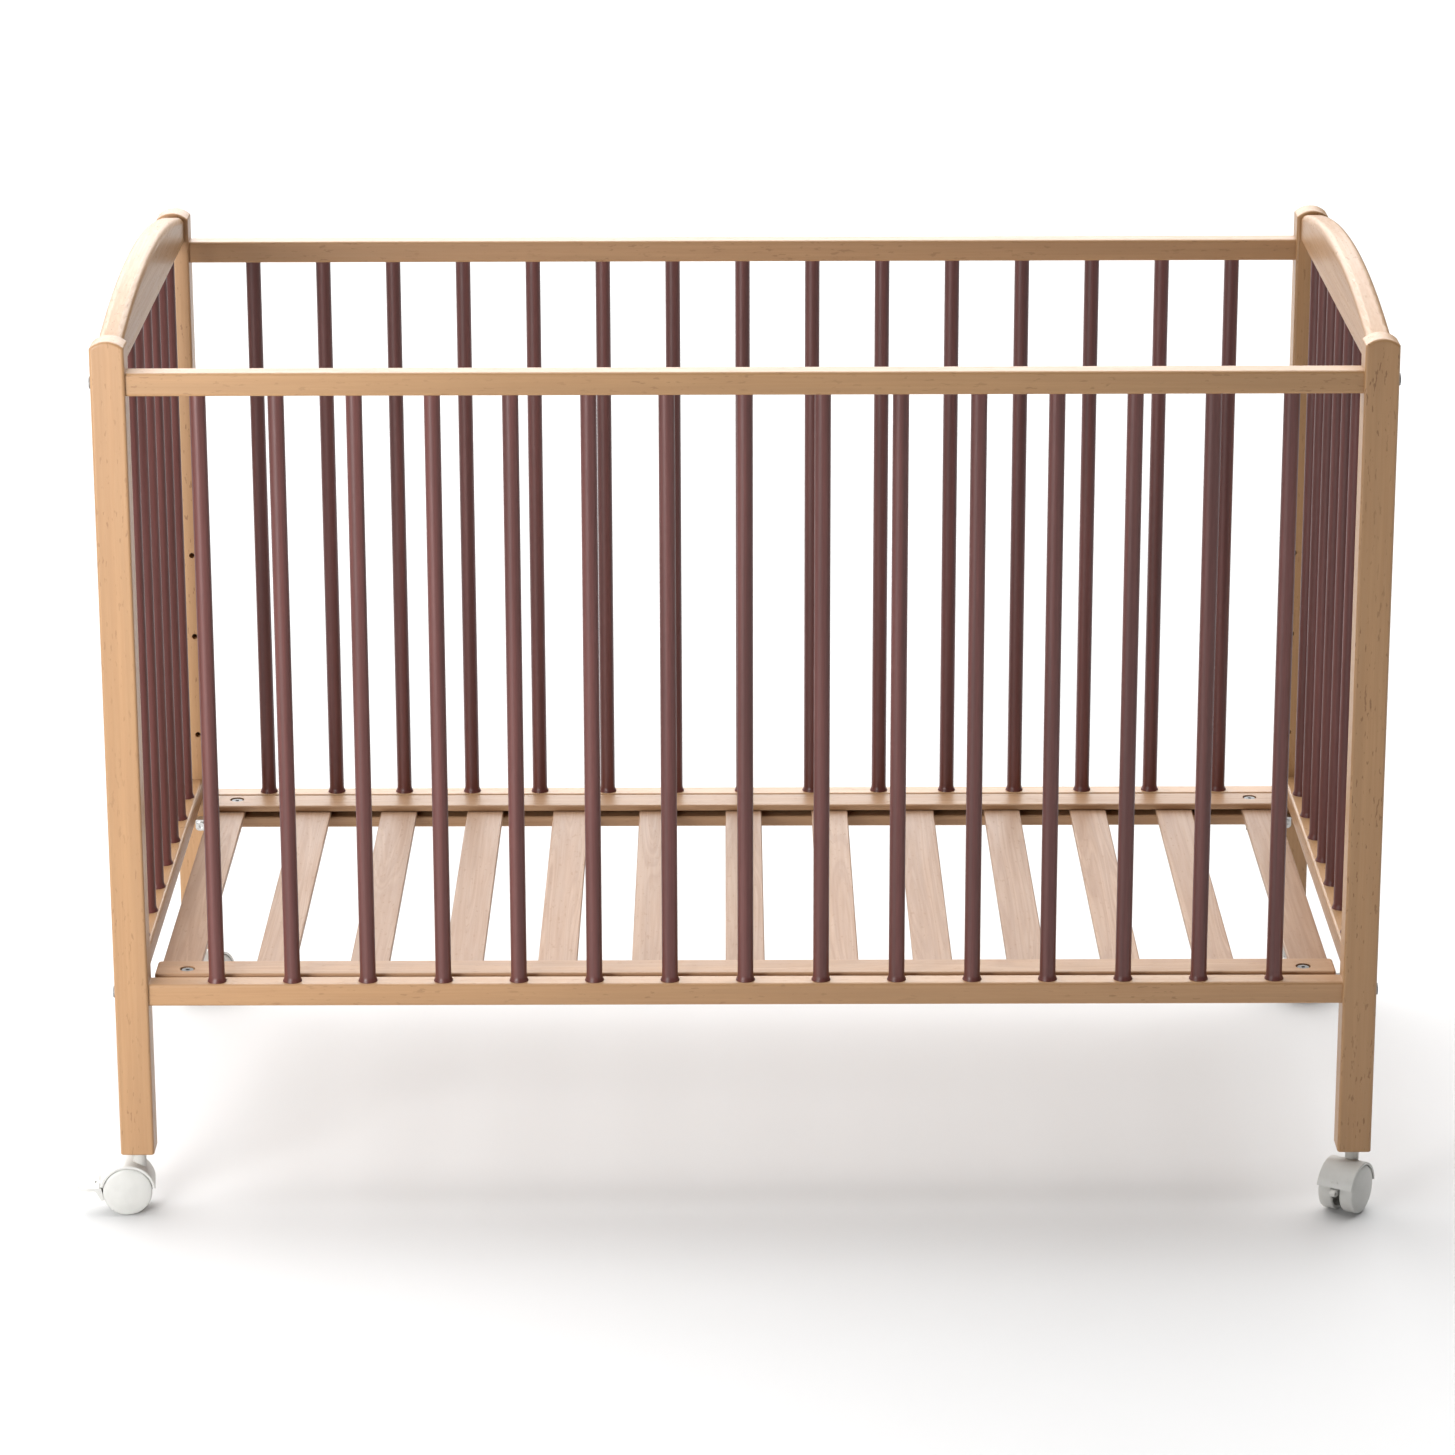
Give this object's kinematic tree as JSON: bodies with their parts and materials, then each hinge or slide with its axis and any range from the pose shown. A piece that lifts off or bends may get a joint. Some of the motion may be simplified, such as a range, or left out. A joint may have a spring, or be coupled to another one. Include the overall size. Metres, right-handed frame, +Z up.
{
  "type": "baby crib",
  "caption": "Wooden baby crib with arched ends, brown dowel bars, a slatted base and twin-wheel casters, two of them braked.",
  "frame": {"origin": "on the floor, under the middle of the crib", "axes": "+X along the crib to its right end, +Y to its rear side, +Z up"},
  "size_m": [1.3618, 0.7068, 0.932],
  "materials": {
    "beech": "clear satin varnish",
    "slat_wood": "sanded, clear varnish",
    "stained_wood": "dark brown stain, satin",
    "white_plastic": "fine matte",
    "steel": "zinc plated"
  },
  "bodies": {
    "crib": {"post_front_left": "beech", "post_front_right": "beech", "post_rear_left": "beech", "post_rear_right": "beech", "front_side_bottom_rail": "beech", "front_side_top_rail": "beech", "rear_side_bottom_rail": "beech", "rear_side_top_rail": "beech", "left_end_bottom_rail": "beech", "left_end_top_rail": "beech", "right_end_bottom_rail": "beech", "right_end_top_rail": "beech", "front_side_dowels": "stained_wood", "rear_side_dowels": "stained_wood", "left_end_dowels": "stained_wood", "right_end_dowels": "stained_wood", "base_upper_rail_front": "beech", "base_upper_rail_rear": "beech", "base_lower_rail_front": "beech", "base_lower_rail_rear": "beech", "base_slat_01": "slat_wood", "base_slat_02": "slat_wood", "base_slat_03": "slat_wood", "base_slat_04": "slat_wood", "base_slat_05": "slat_wood", "base_slat_06": "slat_wood", "base_slat_07": "slat_wood", "base_slat_08": "slat_wood", "base_slat_09": "slat_wood", "base_slat_10": "slat_wood", "base_slat_11": "slat_wood", "base_slat_12": "slat_wood", "base_slat_13": "slat_wood", "base_brackets": "steel", "panel_bolts": "steel", "panel_barrel_nuts": "steel", "base_bolts": "steel", "base_nuts": "steel", "bracket_screws": "steel", "caster_stems": "steel", "caster_sockets": "white_plastic"},
    "front_left_caster": {"caster_front_left_housing": "white_plastic", "caster_front_left_axle": "steel"},
    "front_left_wheel_a": {"caster_front_left_wheel_a": "white_plastic"},
    "front_left_wheel_b": {"caster_front_left_wheel_b": "white_plastic"},
    "front_left_brake": {"caster_front_left_brake_pedal": "white_plastic"},
    "front_right_caster": {"caster_front_right_housing": "white_plastic", "caster_front_right_axle": "steel"},
    "front_right_wheel_a": {"caster_front_right_wheel_a": "white_plastic"},
    "front_right_wheel_b": {"caster_front_right_wheel_b": "white_plastic"},
    "rear_right_caster": {"caster_rear_right_housing": "white_plastic", "caster_rear_right_axle": "steel"},
    "rear_right_wheel_a": {"caster_rear_right_wheel_a": "white_plastic"},
    "rear_right_wheel_b": {"caster_rear_right_wheel_b": "white_plastic"},
    "rear_right_brake": {"caster_rear_right_brake_pedal": "white_plastic"},
    "rear_left_caster": {"caster_rear_left_housing": "white_plastic", "caster_rear_left_axle": "steel"},
    "rear_left_wheel_a": {"caster_rear_left_wheel_a": "white_plastic"},
    "rear_left_wheel_b": {"caster_rear_left_wheel_b": "white_plastic"}
  },
  "joints": [
    {"name": "front_left_swivel", "type": "hinge", "parent": "crib", "child": "front_left_caster", "pos_m": [-0.617, -0.309, 0.0618], "axis": [0, 0, 1], "continuous": true},
    {"name": "front_left_wheel_a_spin", "type": "hinge", "parent": "front_left_caster", "child": "front_left_wheel_a", "pos_m": [-0.62993, -0.31036, 0.025], "axis": [0.1045, -0.9945, 0], "continuous": true},
    {"name": "front_left_wheel_b_spin", "type": "hinge", "parent": "front_left_caster", "child": "front_left_wheel_b", "pos_m": [-0.62993, -0.31036, 0.025], "axis": [0.1045, -0.9945, 0], "continuous": true},
    {"name": "front_left_brake_pedal", "type": "hinge", "parent": "front_left_caster", "child": "front_left_brake", "pos_m": [-0.65927, -0.31344, 0.027], "axis": [-0.1045, 0.9945, 0], "range_deg": [0, 22]},
    {"name": "front_right_swivel", "type": "hinge", "parent": "crib", "child": "front_right_caster", "pos_m": [0.617, -0.309, 0.0618], "axis": [0, 0, 1], "continuous": true},
    {"name": "front_right_wheel_a_spin", "type": "hinge", "parent": "front_right_caster", "child": "front_right_wheel_a", "pos_m": [0.61011, -0.32002, 0.025], "axis": [0.848, -0.5299, 0], "continuous": true},
    {"name": "front_right_wheel_b_spin", "type": "hinge", "parent": "front_right_caster", "child": "front_right_wheel_b", "pos_m": [0.61011, -0.32002, 0.025], "axis": [0.848, -0.5299, 0], "continuous": true},
    {"name": "rear_right_swivel", "type": "hinge", "parent": "crib", "child": "rear_right_caster", "pos_m": [0.617, 0.309, 0.0618], "axis": [0, 0, 1], "continuous": true},
    {"name": "rear_right_wheel_a_spin", "type": "hinge", "parent": "rear_right_caster", "child": "rear_right_wheel_a", "pos_m": [0.62993, 0.31036, 0.025], "axis": [-0.1045, 0.9945, 0], "continuous": true},
    {"name": "rear_right_wheel_b_spin", "type": "hinge", "parent": "rear_right_caster", "child": "rear_right_wheel_b", "pos_m": [0.62993, 0.31036, 0.025], "axis": [-0.1045, 0.9945, 0], "continuous": true},
    {"name": "rear_right_brake_pedal", "type": "hinge", "parent": "rear_right_caster", "child": "rear_right_brake", "pos_m": [0.65927, 0.31344, 0.027], "axis": [0.1045, -0.9945, 0], "range_deg": [0, 22]},
    {"name": "rear_left_swivel", "type": "hinge", "parent": "crib", "child": "rear_left_caster", "pos_m": [-0.617, 0.309, 0.0618], "axis": [0, 0, 1], "continuous": true},
    {"name": "rear_left_wheel_a_spin", "type": "hinge", "parent": "rear_left_caster", "child": "rear_left_wheel_a", "pos_m": [-0.61011, 0.32002, 0.025], "axis": [-0.848, 0.5299, 0], "continuous": true},
    {"name": "rear_left_wheel_b_spin", "type": "hinge", "parent": "rear_left_caster", "child": "rear_left_wheel_b", "pos_m": [-0.61011, 0.32002, 0.025], "axis": [-0.848, 0.5299, 0], "continuous": true}
  ]
}
